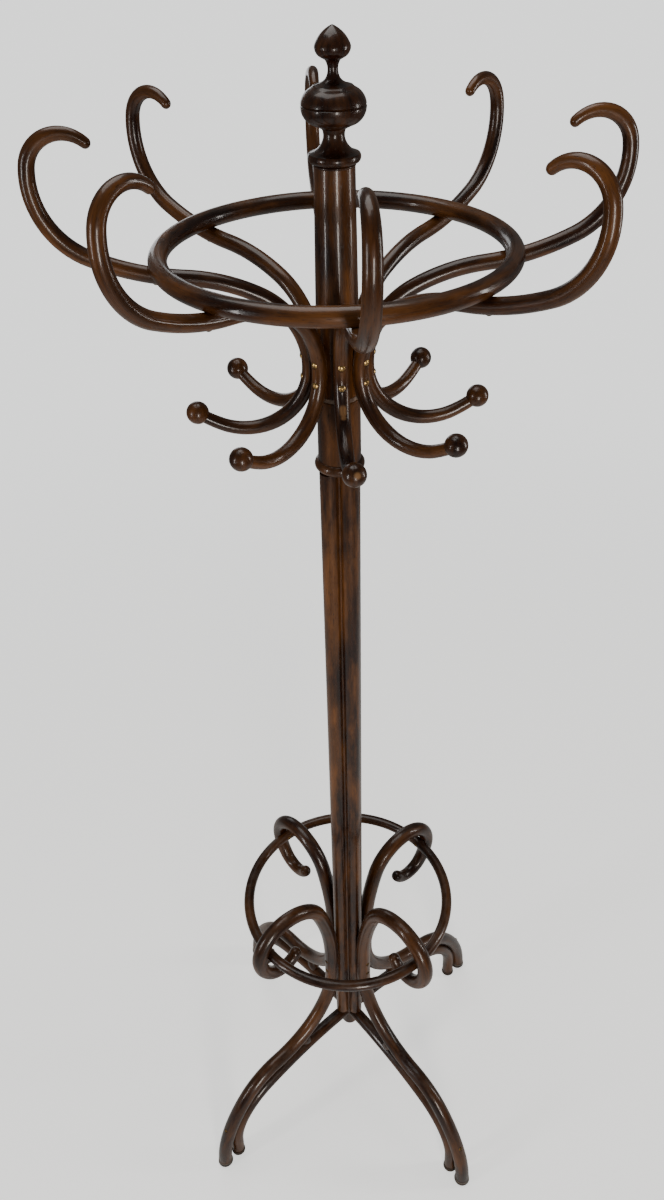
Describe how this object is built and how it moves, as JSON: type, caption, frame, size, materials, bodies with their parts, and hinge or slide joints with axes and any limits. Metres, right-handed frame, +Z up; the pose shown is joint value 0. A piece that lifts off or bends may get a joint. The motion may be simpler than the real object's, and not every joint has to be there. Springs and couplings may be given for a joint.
{
  "type": "standing coat rack",
  "caption": "Bent-wood coat stand: lobed post on scrolled legs with an umbrella ring, and a turning head of double hooks with a hat ring and finial.",
  "frame": {"origin": "on the floor under the post's axis", "axes": "+Z up along the post; the legs stand on the diagonals between the X and Y axes"},
  "size_m": [0.6536, 0.6536, 1.9998],
  "materials": {
    "bent_wood": "dark stained, semi-gloss varnish",
    "turned_wood": "dark stained, semi-gloss varnish",
    "post_wood": "dark stained, semi-gloss varnish",
    "ball_wood": "dark stained, gloss varnish",
    "raw_beech": "bare",
    "brass_screw": "dulled",
    "bush_brass": "machined",
    "pale_washer": "worn",
    "steel": "plain",
    "foot_pad": "scuffed"
  },
  "bodies": {
    "stand": {"neck_sleeve": "turned_wood", "post_collar": "turned_wood", "base_boss": "turned_wood", "spacer_beads": "turned_wood", "post_shaft": "post_wood", "leg_1": "bent_wood", "brace_1": "bent_wood", "leg_2": "bent_wood", "brace_2": "bent_wood", "leg_3": "bent_wood", "brace_3": "bent_wood", "leg_4": "bent_wood", "brace_4": "bent_wood", "umbrella_ring": "bent_wood", "umbrella_ring_screws": "brass_screw", "leg_post_screws": "brass_screw", "leg_brace_screws": "brass_screw", "pivot_spindle": "steel", "spindle_washer": "steel", "spindle_nut": "steel", "thrust_washer": "pale_washer", "leg_pads": "foot_pad", "brace_pads": "foot_pad"},
    "head": {"head_hub": "turned_wood", "lower_bush": "bush_brass", "upper_bush": "bush_brass", "finial": "turned_wood", "finial_dowel": "raw_beech", "hat_ring": "bent_wood", "hook_screws": "brass_screw", "hat_ring_screws": "brass_screw", "hook_1": "bent_wood", "hook_2": "bent_wood", "hook_3": "bent_wood", "hook_4": "bent_wood", "hook_5": "bent_wood", "hook_6": "bent_wood", "hook_7": "bent_wood", "hook_8": "bent_wood", "hook_ball_1": "ball_wood", "hook_ball_2": "ball_wood", "hook_ball_3": "ball_wood", "hook_ball_4": "ball_wood", "hook_ball_5": "ball_wood", "hook_ball_6": "ball_wood", "hook_ball_7": "ball_wood", "hook_ball_8": "ball_wood"}
  },
  "joints": [
    {"name": "head_spin", "type": "hinge", "parent": "stand", "child": "head", "pos_m": [0, 0, 1.6088], "axis": [0, 0, 1], "continuous": true}
  ]
}
